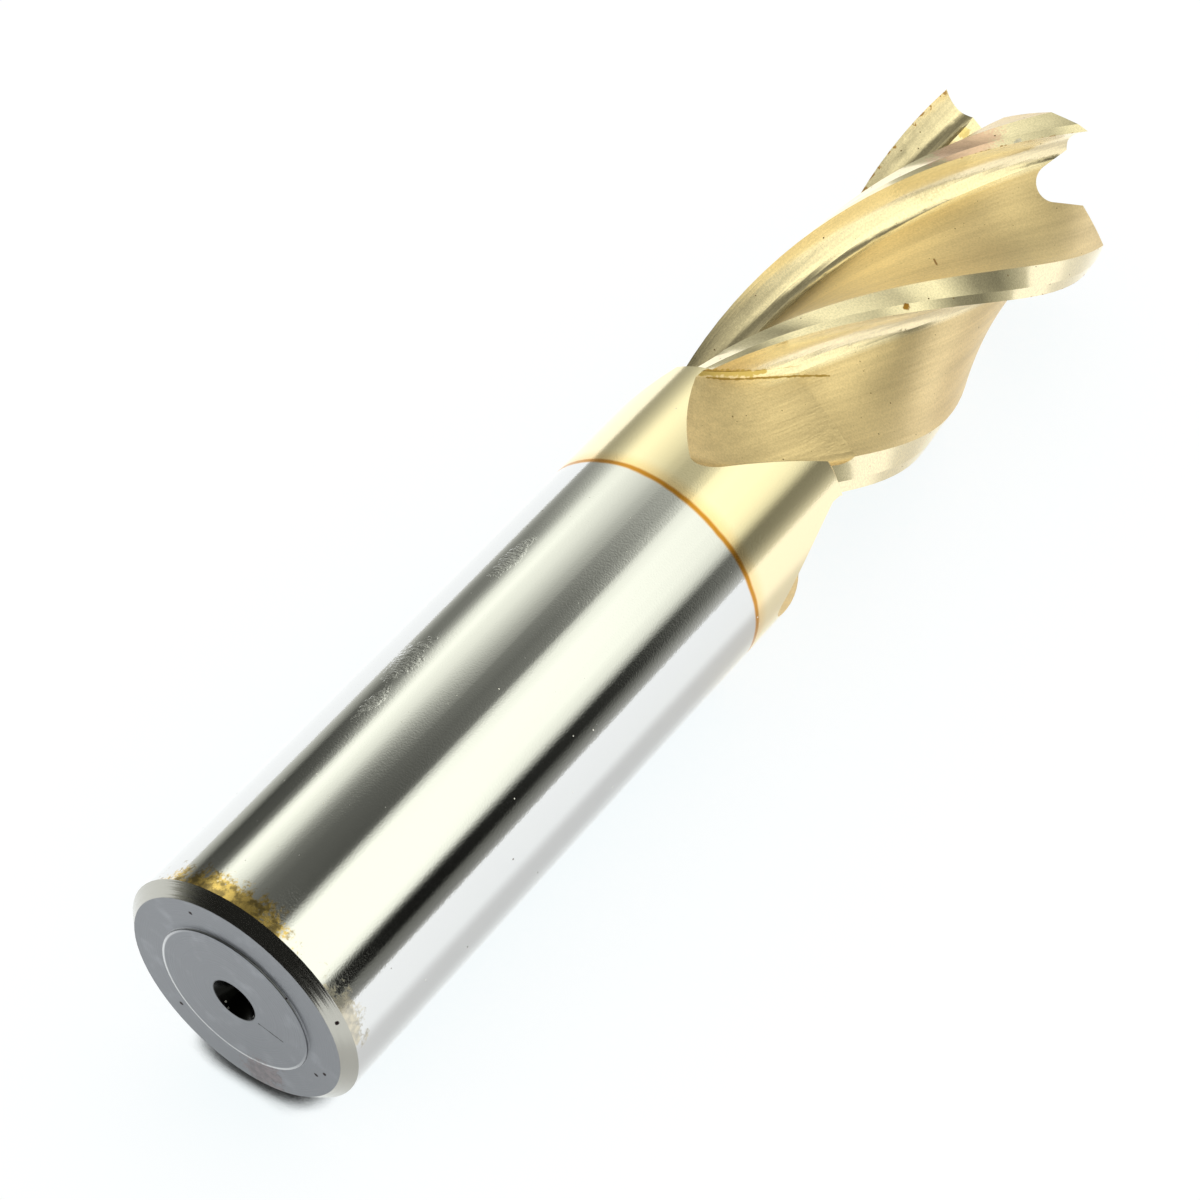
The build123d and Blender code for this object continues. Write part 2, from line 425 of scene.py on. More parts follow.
    def build_stroke(self) -> Group:
        """Makes one thin and uneven line between two points.

        Returns:
            The group.
        """
        inputs = {"Point": "Vector", "Start": "Vector", "End": "Vector", "Width": "Float"}
        nodes, given, taken = self.start("stroke", inputs, {"Mask": "Float"})
        along = nodes.vector("SUBTRACT", given["End"], given["Start"])
        apart = nodes.vector("SUBTRACT", given["Point"], given["Start"])
        length = nodes.vector("DOT_PRODUCT", along, along)
        share = nodes.math("DIVIDE", nodes.vector("DOT_PRODUCT", apart, along), length, clamp=True)
        far = nodes.vector("LENGTH", nodes.vector("SUBTRACT", apart, nodes.scale(along, share)))
        width = nodes.math("MULTIPLY", given["Width"], nodes.cloud(given["Point"], self.uneven))
        core = nodes.math("MULTIPLY", width, self.stroke_core)
        nodes.join(nodes.span(far, width, core), taken["Mask"])
        return nodes.tree

    def build_lines(self) -> Group:
        """Makes the fine lines that a wheel or a tool leaves, as a number from 0 to 1.

        Returns:
            The group.
        """
        inputs = {"Vector": "Vector", "Scale": "Float"}
        nodes, given, taken = self.start("lines", inputs, {"Mask": "Float"})
        fine = nodes.noise(given["Vector"], given["Scale"], detail=3.0)
        nodes.join(nodes.span(fine, low=0.3, high=0.7), taken["Mask"])
        return nodes.tree

    def build_grain(self) -> Group:
        """Makes the fine speckle of the coating, as a level of its colour.

        Returns:
            The group.
        """
        nodes, given, taken = self.start("grain", {"Point": "Vector"}, {"Level": "Float"})
        nodes.join(nodes.cloud(given["Point"], self.speckle), taken["Level"])
        return nodes.tree

    def build_wear(self) -> Group:
        """Marks where the coating is worn off along the cutting edges, most near the tip.

        Returns:
            The group.
        """
        inputs = {"Point": "Vector", "Radius": "Float", "Height": "Float", "Behind": "Float"}
        nodes, given, taken = self.start("wear", inputs, {"Mask": "Float"})
        reach = nodes.cloud(given["Point"], self.worn_reach)
        upper = nodes.span(given["Height"], *self.worn_heights)
        reach = nodes.math("MULTIPLY", reach, upper)
        near = nodes.math("LESS_THAN", nodes.math("ABSOLUTE", given["Behind"]), reach)
        outer = nodes.math("GREATER_THAN", given["Radius"], self.worn_radius)
        nodes.join(nodes.math("MULTIPLY", near, outer), taken["Mask"])
        return nodes.tree


@dataclass(frozen=True)
class SkyBand:
    """Light that the tool mirrors from one range of elevations, by direction about its axis.

    Args:
        low: Elevation in degrees at which the band starts to show.
        high: Elevation in degrees from which it shows alone.
        stops: Turn about the axis in degrees from the table's normal, and level of light.
    """

    low: float
    high: float
    stops: tuple[Range, ...]


SKY = (
    SkyBand(-42, -26, (
        (-180, 1.15), (-140, 1.08), (-115, 0.75), (-95, 0.48), (-70, 0.19), (-40, 0.09),
        (10, 0.07), (38, 0.09), (52, 0.24), (70, 0.40), (100, 0.28), (131, 0.40),
        (160, 0.95), (180, 1.15),
    )),
    SkyBand(-19, -8, (
        (-180, 1.20), (-115, 1.0), (-95, 0.70), (-60, 0.50), (-45, 0.34), (-30, 0.22),
        (-15, 0.20), (-8, 0.26), (0, 0.95), (8, 1.45), (85, 1.45), (98, 0.66), (120, 0.60),
        (140, 0.80), (160, 1.08), (180, 1.15),
    )),
    SkyBand(20, 25, (
        (-180, 1.15), (-112, 1.22), (-98, 1.14), (-92, 0.72), (-84, 0.36), (-79, 0.08),
        (-66, 0.10), (-60, 0.26), (-56, 1.06), (-51, 1.50), (-46, 1.40), (-36, 1.02),
        (-28, 0.44), (-22, 0.22), (-12, 0.14), (8, 0.10), (12, 0.15), (16, 0.80), (21, 1.48),
        (62, 1.50), (68, 1.22), (72, 0.22), (75, 0.01), (85, 0.01), (88, 0.17), (96, 0.28),
        (100, 0.75), (105, 1.10), (115, 1.20), (180, 1.15),
    )),
    SkyBand(27, 31, (
        (-180, 1.20), (-108, 1.22), (-97, 0.95), (-88, 0.39), (-82, 0.24), (-74, 0.25),
        (-68, 0.52), (-61, 1.20), (-53, 1.48), (-47, 1.28), (-38, 1.14), (-22, 0.62),
        (-10, 0.25), (0, 0.18), (12, 0.23), (16, 0.67), (21, 1.25), (30, 1.48), (56, 1.44),
        (67, 1.12), (72, 0.50), (76, 0.03), (84, 0.025), (88, 0.14), (96, 0.41), (104, 1.10),
        (115, 1.20), (180, 1.20),
    )),
    SkyBand(31.5, 35.5, (
        (-180, 1.28), (-108, 1.18), (-100, 1.00), (-91, 0.42), (-84, 0.45), (-76, 0.62),
        (-70, 0.94), (-61, 1.24), (-50, 1.20), (-40, 1.04), (-30, 0.88), (-20, 0.67),
        (-10, 0.55), (4, 0.60), (10, 0.90), (18, 1.22), (28, 1.35), (50, 1.26), (60, 1.16),
        (67, 0.95), (72, 0.55), (76, 0.22), (86, 0.28), (92, 0.48), (100, 0.88),
        (108, 1.08), (125, 1.05), (140, 1.05), (180, 1.28),
    )),
    SkyBand(37, 42, (
        (-180, 1.20), (-110, 1.00), (-85, 0.50), (-67, 0.30), (-55, 0.74), (-44, 1.10),
        (-20, 0.92), (2, 0.62), (13, 1.00), (28, 1.18), (42, 0.62), (54, 0.28), (72, 0.20),
        (90, 0.50), (108, 0.92), (125, 1.06), (140, 1.02), (180, 1.20),
    )),
    SkyBand(51, 61, (
        (-180, 1.20), (-110, 1.00), (-80, 0.65), (-50, 0.56), (0, 0.44), (30, 0.70),
        (45, 0.72), (75, 0.60), (100, 0.80), (140, 1.10), (180, 1.20),
    )),
)


@dataclass(frozen=True)
class SheetFinish:
    """Pale matt finish of the stage's sheets, which shows from their upper side only.

    Args:
        matt: Colour of a sheet in the light that it sends on to the tool.
        seen_matt: Its colour to the camera, in the light that shadows change.
        seen_glow: Light that it gives off to the camera, which shadows don't change.
        mirror_glow: Tint of the light that it gives off where it is mirrored.
        mirror_level: Level of that light.
        stripe_drop: How much lower that level is in a painted shadow beside the tool, which stands
            for the tool's soft shadow on the table.
        stripe_start: Places across the table between which that painted shadow starts, in
            millimetres.
        stripe_end: Places between which it ends, the far one first.
        contact_reach: Reach of the shade where a sheet touches the tool.
        contact_samples: Rays that measure that shade.
        contact_open: Openness at which it is full, and from which it is gone.
        contact_span: Distances from the tool's foot between which it ends, in millimetres.
        contact_dark: Colour of a sheet in it.
    """

    matt: Colour = grey(0.80)
    seen_matt: Colour = (0.30, 0.16, 0.12)
    seen_glow: Colour = (0.745, 0.875, 0.91)
    mirror_glow: Colour = (0.95, 1.01, 1.02)
    mirror_level: float = 0.53
    stripe_drop: float = 0.34
    stripe_start: Range = (5.5, 14.0)
    stripe_end: Range = (25.0, 17.0)
    contact_reach: float = 2 * MM
    contact_samples: int = 8
    contact_open: Range = (0.43, 0.76)
    contact_span: Range = (10.6, 13.0)
    contact_dark: Colour = grey(0.05)

    def build(self, name: str) -> bpy.types.Material:
        """Makes the material of one sheet.

        Args:
            name: Name of the material.

        Returns:
            The material.
        """
        material = bpy.data.materials.new(name)
        material.use_nodes = True
        nodes = NodeTree(material.node_tree)
        path = nodes.add("ShaderNodeLightPath").outputs
        seen = nodes.math("MAXIMUM", path["Is Camera Ray"], path["Is Transmission Ray"])
        geometry = nodes.add("ShaderNodeNewGeometry").outputs
        close = nodes.add("ShaderNodeAmbientOcclusion", samples=self.contact_samples)
        nodes.feed(close, Distance=self.contact_reach)
        open_share = nodes.span(close.outputs["AO"], *self.contact_open)
        far = nodes.math("DIVIDE", nodes.vector("LENGTH", geometry["Position"]), MM)
        open_share = nodes.math("MAXIMUM", open_share, nodes.span(far, *self.contact_span))
        open_share = nodes.math("MAXIMUM", open_share, nodes.math("SUBTRACT", 1.0, seen))
        colour = nodes.mix(seen, rgba(self.matt), rgba(self.seen_matt))
        colour = nodes.mix(open_share, rgba(self.contact_dark), colour)
        matt = nodes.feed(nodes.add("ShaderNodeBsdfDiffuse"), colour)
        # Painted shadow: a stripe on the table beside the tool, where the light that it gives to
        # mirroring surfaces is lower, standing for the tool's soft shadow there
        aside = nodes.math("DIVIDE", nodes.vector("DOT_PRODUCT", geometry["Position"], ACROSS), MM)
        painted_shadow_mask = nodes.span(aside, *self.stripe_start)
        painted_shadow_mask = nodes.math("MULTIPLY", painted_shadow_mask, nodes.span(aside, *self.stripe_end))
        level = nodes.math("MULTIPLY_ADD", painted_shadow_mask, -self.stripe_drop, self.mirror_level)
        level = nodes.math("MULTIPLY", path["Is Glossy Ray"], level)
        level = nodes.math("MAXIMUM", seen, level)
        level = nodes.math("MULTIPLY", level, open_share)
        tint = nodes.mix(seen, rgba(self.mirror_glow), rgba(self.seen_glow))
        glow = nodes.feed(nodes.add("ShaderNodeEmission"), Color=tint, Strength=level)
        both = nodes.feed(nodes.add("ShaderNodeAddShader"), matt.outputs[0], glow.outputs[0])
        clear = nodes.add("ShaderNodeBsdfTransparent")
        side = nodes.add("ShaderNodeMixShader")
        nodes.feed(side, geometry["Backfacing"], both.outputs[0], clear.outputs[0])
        nodes.feed(nodes.add("ShaderNodeOutputMaterial"), Surface=side.outputs[0])
        return material


@dataclass(frozen=True)
class Studio:
    """Pale table, floor, world and camera around the tool.

    Args:
        table_reach: How far the table reaches to its open side.
        table_depth: How far it reaches to its other side.
        table_length: How far it reaches up and down along the tool.
        floor_size: Half the width of the floor.
        sheet: Finish of the table and the floor.
        camera_place: Where the camera stands.
        camera_right: Direction to the right in its picture.
        camera_up: Direction up in its picture.
        camera_lens: Its lens in millimetres.
        camera_start: Nearest distance at which it shows anything.
        sky: Bands of light that the tool mirrors, from the lowest up.
        nadir: Level of the light that it mirrors from straight below.
        warm: Tint of the light that it mirrors from the side away from the table.
        warm_range: Sines of the angle to the table between which that tint starts.
        plain: Level of the light that falls on all that doesn't mirror.
        backdrop: Level of the world as the camera sees it.
    """

    table_reach: float = 0.10
    table_depth: float = 0.30
    table_length: float = 1.2
    floor_size: float = 1.2
    sheet: SheetFinish = SheetFinish()
    camera_place: Place = (0.21893, -0.03460, -0.09700)
    camera_right: Place = (0.47702, 0.65730, 0.58346)
    camera_up: Place = (0.27806, -0.74262, 0.60927)
    camera_lens: float = 104.58
    camera_start: float = 0.01
    sky: tuple[SkyBand, ...] = SKY
    nadir: float = 0.01
    warm: Colour = (1.0, 1.02, 0.88)
    warm_range: Range = (-0.35, 0.15)
    plain: float = 0.9
    backdrop: float = 1.0

    def build(self, form: ToolForm) -> None:
        """Makes the stage and the camera.

        Args:
            form: The tool's sizes.
        """
        self.build_table(form)
        self.build_floor()
        self.build_world()
        self.build_camera()

    def build_table(self, form: ToolForm) -> None:
        """Makes the pale table that the shank touches.

        Args:
            form: The tool's sizes.
        """
        foot = TABLE_NORMAL * -form.shank_radius
        along = Vector((0, 0, self.table_length))
        left = foot - ACROSS * self.table_depth
        right = foot + ACROSS * self.table_reach
        self.build_sheet("table", [left - along, right - along, right + along, left + along])

    def build_floor(self) -> None:
        """Makes the pale floor that the tool stands on, which the tool doesn't mirror."""
        size = self.floor_size
        corners = [Vector((x * size, y * size, 0)) for x, y in ((-1, -1), (1, -1), (1, 1), (-1, 1))]
        floor = self.build_sheet("floor", corners)
        floor.visible_diffuse = False
        floor.visible_glossy = False
        floor.visible_shadow = False

    def build_sheet(self, name: str, corners: list[Vector]) -> bpy.types.Object:
        """Makes one flat sheet of the stage.

        Args:
            name: Name of the sheet.
            corners: Its corners, counterclockwise as seen from its pale side.

        Returns:
            The sheet.
        """
        mesh = bpy.data.meshes.new(name)
        mesh.from_pydata(corners, [], [tuple(range(len(corners)))])
        mesh.materials.append(self.sheet.build(name))
        sheet = bpy.data.objects.new(name, mesh)
        bpy.context.scene.collection.objects.link(sheet)
        LOG.info("made the %s", name)
        return sheet

    def build_world(self) -> None:
        """Makes the studio's light, in bands along the tool as the tool mirrors them."""
        world = bpy.data.worlds.new("studio")
        world.use_nodes = True
        bpy.context.scene.world = world
        nodes = NodeTree(world.node_tree)
        turned = nodes.add("ShaderNodeVectorRotate", rotation_type="Z_AXIS")
        place = nodes.add("ShaderNodeTexCoord").outputs["Generated"]
        nodes.feed(turned, Vector=place, Angle=-TABLE_TURN)
        x, y, z = nodes.split(turned.outputs[0])
        share = nodes.math("MULTIPLY_ADD", nodes.math("ARCTAN2", y, x), 1 / math.tau, 0.5)
        rise = nodes.math("ARCSINE", z)
        light = rgba(grey(self.nadir))
        for band in self.sky:
            stops = [(turn / 360 + 0.5, grey(level)) for turn, level in band.stops]
            shown = nodes.span(rise, math.radians(band.low), math.radians(band.high))
            light = nodes.mix(shown, light, nodes.ramp(share, stops))
        tint = nodes.mix(nodes.span(x, *self.warm_range), rgba(grey(1.0)), rgba(self.warm))
        light = nodes.vector("MULTIPLY", light, tint)
        path = nodes.add("ShaderNodeLightPath").outputs
        plain = rgba(grey(self.plain))
        colour = nodes.mix(path["Is Camera Ray"], plain, rgba(grey(self.backdrop)))
        colour = nodes.mix(path["Is Glossy Ray"], colour, light)
        background = nodes.feed(nodes.add("ShaderNodeBackground"), Color=colour)
        nodes.feed(nodes.add("ShaderNodeOutputWorld"), Surface=background.outputs[0])
        LOG.info("made the world")

    def build_camera(self) -> None:
        """Makes the camera at the photograph's view of the tool."""
        data = bpy.data.cameras.new("camera")
        data.lens = self.camera_lens
        data.clip_start = self.camera_start
        camera = bpy.data.objects.new("camera", data)
        right = Vector(self.camera_right)
        up = Vector(self.camera_up)
        turn = Matrix((right, up, right.cross(up))).transposed().to_4x4()
        camera.matrix_world = Matrix.Translation(self.camera_place) @ turn
        bpy.context.scene.collection.objects.link(camera)
        bpy.context.scene.camera = camera
        LOG.info("made the camera")


@dataclass(frozen=True)
class Metal:
    """One plain metal surface.

    Args:
        colour: Its colour.
        roughness: Its roughness.
    """

    colour: Colour
    roughness: float


@dataclass(frozen=True)
class Patch:
    """Shape of one ragged patch on the tool, in millimetres.

    Args:
        centre: Its centre.
        reach: How far it reaches along each axis.
        ragged: How uneven its rim is.
        grain: Scale of that unevenness.
    """

    centre: Place
    reach: Place
    ragged: float
    grain: float


@dataclass(frozen=True)
class Stain:
    """One stain or worn spot on the tool.

    Args:
        patch: Its shape.
        metal: The surface in it.
        strength: How much of the surface under it it hides.
        dark: Level of its darker spots, where its lighter ones have 1.
    """

    patch: Patch
    metal: Metal
    strength: float = 1.0
    dark: float = 0.8


@dataclass(frozen=True)
class Stroke:
    """One thin line along two or more points of the tool, in millimetres.

    Args:
        points: Its ends and bends.
        width: Half of its width.
        metal: The surface in it.
    """

    points: tuple[Place, ...]
    width: float
    metal: Metal


@dataclass(frozen=True)
class Spots:
    """Small round spots all over a surface.

    Args:
        scale: Cells for each millimetre.
        size: Largest radius of a spot, as a share of a cell.
        share: Share of the cells that have one.
        metal: The surface in them.
    """

    scale: float
    size: float
    share: float
    metal: Metal


@dataclass
class Finish:
    """One metal finish while its layers are put on.

    Args:
        name: Name of the material.
        effects: Groups that the materials share.
        bare: The bare surface.
    """

    name: str
    effects: Effects
    bare: Metal

    def __post_init__(self) -> None:
        """Starts the material."""
        self.material = bpy.data.materials.new(self.name)
        self.material.use_nodes = True
        self.nodes = NodeTree(self.material.node_tree)
        self.at = self.nodes.use(self.effects.place)
        self.colour = rgba(self.bare.colour)
        self.roughness = self.bare.roughness
        self.normal = None

    def layer(self, mask: object, colour: object, roughness: float) -> None:
        """Puts a colour and a roughness over the finish where a mask is 1."""
        self.colour = self.nodes.mix(mask, self.colour, colour)
        self.roughness = self.nodes.blend(mask, self.roughness, roughness)

    def coat(self, mask: object, metal: Metal) -> None:
        """Puts a plain metal surface over the finish where a mask is 1."""
        self.layer(mask, rgba(metal.colour), metal.roughness)

    def tone(self, level: object) -> None:
        """Multiplies the colour by a level."""
        colour = self.colour[:3] if isinstance(self.colour, tuple) else self.colour
        self.colour = self.nodes.scale(colour, level)

    def roughen(self, mask: object, amount: float) -> None:
        """Adds to the roughness by a mask."""
        self.roughness = self.nodes.math("MULTIPLY_ADD", mask, amount, self.roughness)

    def place(self, group: Group, mark: Patch | Spots) -> Outputs:
        """Places the group that makes a mark, whose inputs have the names of the mark's sizes.

        Args:
            group: The group.
            mark: The mark.

        Returns:
            The group's outputs.
        """
        sizes = {name.title(): size for name, size in vars(mark).items() if name != "metal"}
        return self.nodes.use(group, Point=self.at["Point"], **sizes)

    def stain(self, *stains: Stain) -> None:
        """Puts stains over the finish.

        Args:
            stains: The stains, the lowest first.
        """
        nodes = self.nodes
        for stain in stains:
            outputs = self.place(self.effects.patch, stain.patch)
            mask = nodes.math("MULTIPLY", outputs["Mask"], stain.strength)
            light = stain.metal.colour
            dark = tuple(stain.dark * level for level in light)
            colour = nodes.mix(outputs["Tone"], rgba(dark), rgba(light))
            self.layer(mask, colour, stain.metal.roughness)

    def draw(self, *strokes: Stroke) -> None:
        """Puts thin lines over the finish.

        Args:
            strokes: The lines, the lowest first.
        """
        point = self.at["Point"]
        group = self.effects.stroke
        for stroke in strokes:
            for start, end in zip(stroke.points, stroke.points[1:]):
                outputs = self.nodes.use(group, Point=point, Start=start, End=end, Width=stroke.width)
                self.coat(outputs["Mask"], stroke.metal)

    def scatter(self, spots: Spots, within: object = None) -> None:
        """Puts small spots over the finish.

        Args:
            spots: The spots.
            within: Mask in which they show, or None for all over.
        """
        mask = self.place(self.effects.pits, spots)["Mask"]
        if within is not None:
            mask = self.nodes.math("MULTIPLY", mask, within)
        self.coat(mask, spots.metal)

    def speckle(self) -> None:
        """Gives the coating its fine speckle."""
        self.tone(self.nodes.use(self.effects.grain, Point=self.at["Point"])["Level"])

    def wear(self, metal: Metal) -> None:
        """Wears the coating off along the cutting edges.

        Args:
            metal: The surface that shows there.
        """
        values = {name: self.at[name] for name in ("Point", "Radius", "Height", "Behind")}
        self.coat(self.nodes.use(self.effects.wear, **values)["Mask"], metal)

    def pale(self, share: float, colour: Colour) -> None:
        """Paints a paler colour into the finish where another face of the tool mirrors it, as a
        painted reflection.

        Args:
            share: How far it gets paler.
            colour: Colour that it gets nearer to.
        """
        path = self.nodes.add("ShaderNodeLightPath").outputs
        mirrored = self.nodes.math("MULTIPLY", path["Is Glossy Ray"], share)
        self.colour = self.nodes.mix(mirrored, self.colour, rgba(colour))

    def close(self) -> bpy.types.Material:
        """Ends the material.

        Returns:
            The material with its layers.
        """
        nodes = self.nodes
        shader = nodes.add("ShaderNodeBsdfPrincipled")
        nodes.feed(shader, self.colour, Metallic=1.0, Roughness=self.roughness)
        if self.normal is not None:
            nodes.feed(shader, Normal=self.normal)
        nodes.feed(nodes.add("ShaderNodeOutputMaterial"), Surface=shader.outputs[0])
        return self.material


# Marks on the tool, each kind from the lowest up
SHANK_STAINS = (
    Stain(
        Patch(centre=(7.6, -6.3, 1.0), reach=(7.0, 5.6, 2.2), ragged=1.4, grain=0.9),
        Metal((0.80, 0.56, 0.15), 0.15),
        strength=0.95,
        dark=0.35,
    ),
    Stain(
        Patch(centre=(8.6, 5.2, 1.2), reach=(2.9, 4.0, 1.5), ragged=1.9, grain=1.2),
        Metal((0.58, 0.50, 0.33), 0.25),
        strength=0.65,
        dark=0.55,
    ),
)
SHANK_PITS = Spots(scale=0.8, size=0.085, share=0.30, metal=Metal((0.12, 0.09, 0.05), 0.5))
SHANK_DUST = Spots(scale=1.3, size=0.10, share=0.45, metal=Metal((0.95, 0.93, 0.88), 0.65))
SHANK_SCUFFS = (
    Patch(centre=(4.9, -8.7, 25.2), reach=(1.3, 1.1, 2.7), ragged=1.6, grain=0.7),
    Patch(centre=(5.4, -8.4, 20.8), reach=(0.7, 0.6, 2.2), ragged=1.6, grain=0.7),
    Patch(centre=(5.2, -8.5, 37.5), reach=(1.0, 0.8, 2.6), ragged=1.6, grain=0.7),
)
LAND_STAINS = (
    Stain(
        Patch(centre=(7.1, -6.1, 95.0), reach=(2.9, 2.9, 4.6), ragged=1.0, grain=0.5),
        Metal((0.93, 0.62, 0.44), 0.24),
        strength=0.9,
        dark=0.9,
    ),
    Stain(
        Patch(centre=(9.5, -0.9, 77.3), reach=(0.5, 0.34, 0.42), ragged=0.8, grain=2.5),
        Metal((0.40, 0.20, 0.03), 0.45),
    ),
)
LAND_CHIP = Stain(
    Patch(centre=(8.98, -3.5, 97.9), reach=(0.35, 0.35, 0.6), ragged=1.0, grain=2.0),
    Metal((0.95, 0.87, 0.68), 0.5),
)
LAND_LINE = Stroke(
    ((9.39, -1.75, 101.0), (8.86, -0.4, 103.75)), width=0.14, metal=Metal((0.45, 0.25, 0.08), 0.5)
)
LAND_PITS = Spots(scale=1.4, size=0.16, share=0.4, metal=Metal((0.22, 0.15, 0.07), 0.5))
# Painted shade that darkens the upper part of the rake face, together with the brownish tint that the
# coating really has there
FLUTE_PAINTED_SHADE = Stain(
    Patch(centre=(6.5, -6.3, 90.5), reach=(2.6, 2.6, 6.5), ragged=0.4, grain=0.5),
    Metal((0.64, 0.53, 0.31), 0.22),
    strength=0.6,
    dark=0.95,
)
# Painted light along the crease at the top of the wheel pocket: a thin dark stroke of painted shade
# in the crease and a wider orange band of painted highlight along its edge; the last stroke is a real
# nick
CREASE_PLACES = (
    (5.40, -8.30, 60.5),
    (5.13, -6.26, 62.95),
    (5.15, -4.60, 65.3),
    (5.60, -2.90, 67.5),
    (6.10, -1.00, 69.7),
)
CREASE_PAINTED_HIGHLIGHT = Metal((0.58, 0.41, 0.12), 0.30)
NICK_DARK = Metal((0.35, 0.20, 0.07), 0.5)
FLUTE_NICK_AND_PAINTED_CREASE = (
    Stroke(CREASE_PLACES, width=0.13, metal=Metal((0.40, 0.26, 0.07), 0.4)),
    Stroke(((5.59, -8.29, 60.9), (5.23, -5.43, 64.8)), width=0.36, metal=CREASE_PAINTED_HIGHLIGHT),
    Stroke(((5.23, -5.43, 64.8), (5.36, -4.74, 65.8)), width=0.24, metal=CREASE_PAINTED_HIGHLIGHT),
    Stroke(((7.2, -1.56, 84.58), (7.76, -1.14, 83.93)), width=0.10, metal=NICK_DARK),
)
FLUTE_NICK = Stain(
    Patch(centre=(0.06, -6.0, 102.2), reach=(0.6, 0.6, 0.8), ragged=1.0, grain=2.0),
    Metal((0.95, 0.74, 0.30), 0.4),
)
FLUTE_PITS = Spots(scale=1.2, size=0.13, share=0.5, metal=Metal((0.24, 0.16, 0.07), 0.5))
FLUTE_SPECKS = Spots(scale=2.6, size=0.13, share=0.25, metal=Metal((0.34, 0.24, 0.10), 0.5))
END_STAIN = Stain(
    Patch(centre=(-4.9, 5.9, 0.2), reach=(2.2, 2.0, 0.5), ragged=1.8, grain=2.0),
    Metal((0.23, 0.17, 0.165), 0.4),
    strength=0.5,
    dark=0.5,
)
END_SCRATCH = Stroke(((0.4, 2.3, 0.0), (1.3, 4.2, 0.0)), width=0.07, metal=Metal(grey(0.03), 0.5))
PIT_DARK = Metal((0.03, 0.02, 0.02), 0.6)
PIT_PLACES = (
    (4.0, -6.9, 0.2), (-7.4, -1.4, 0.2), (1.2, 7.5, 0.2), (2.3, 7.7, 0.2), (8.3, 4.8, 0.7)
)
END_PITS = tuple(
    Stain(Patch(centre=place, reach=(0.2, 0.2, 0.2), ragged=0.3, grain=2.0), PIT_DARK)
    for place in PIT_PLACES
)
END_SPECKS = Spots(scale=0.55, size=0.07, share=0.6, metal=PIT_DARK)
# Painted glints: bright specks for the mouth of the centre hole
HOLE_PAINTED_GLINTS = Spots(scale=2.2, size=0.30, share=0.25, metal=Metal((0.62, 0.61, 0.57), 0.3))


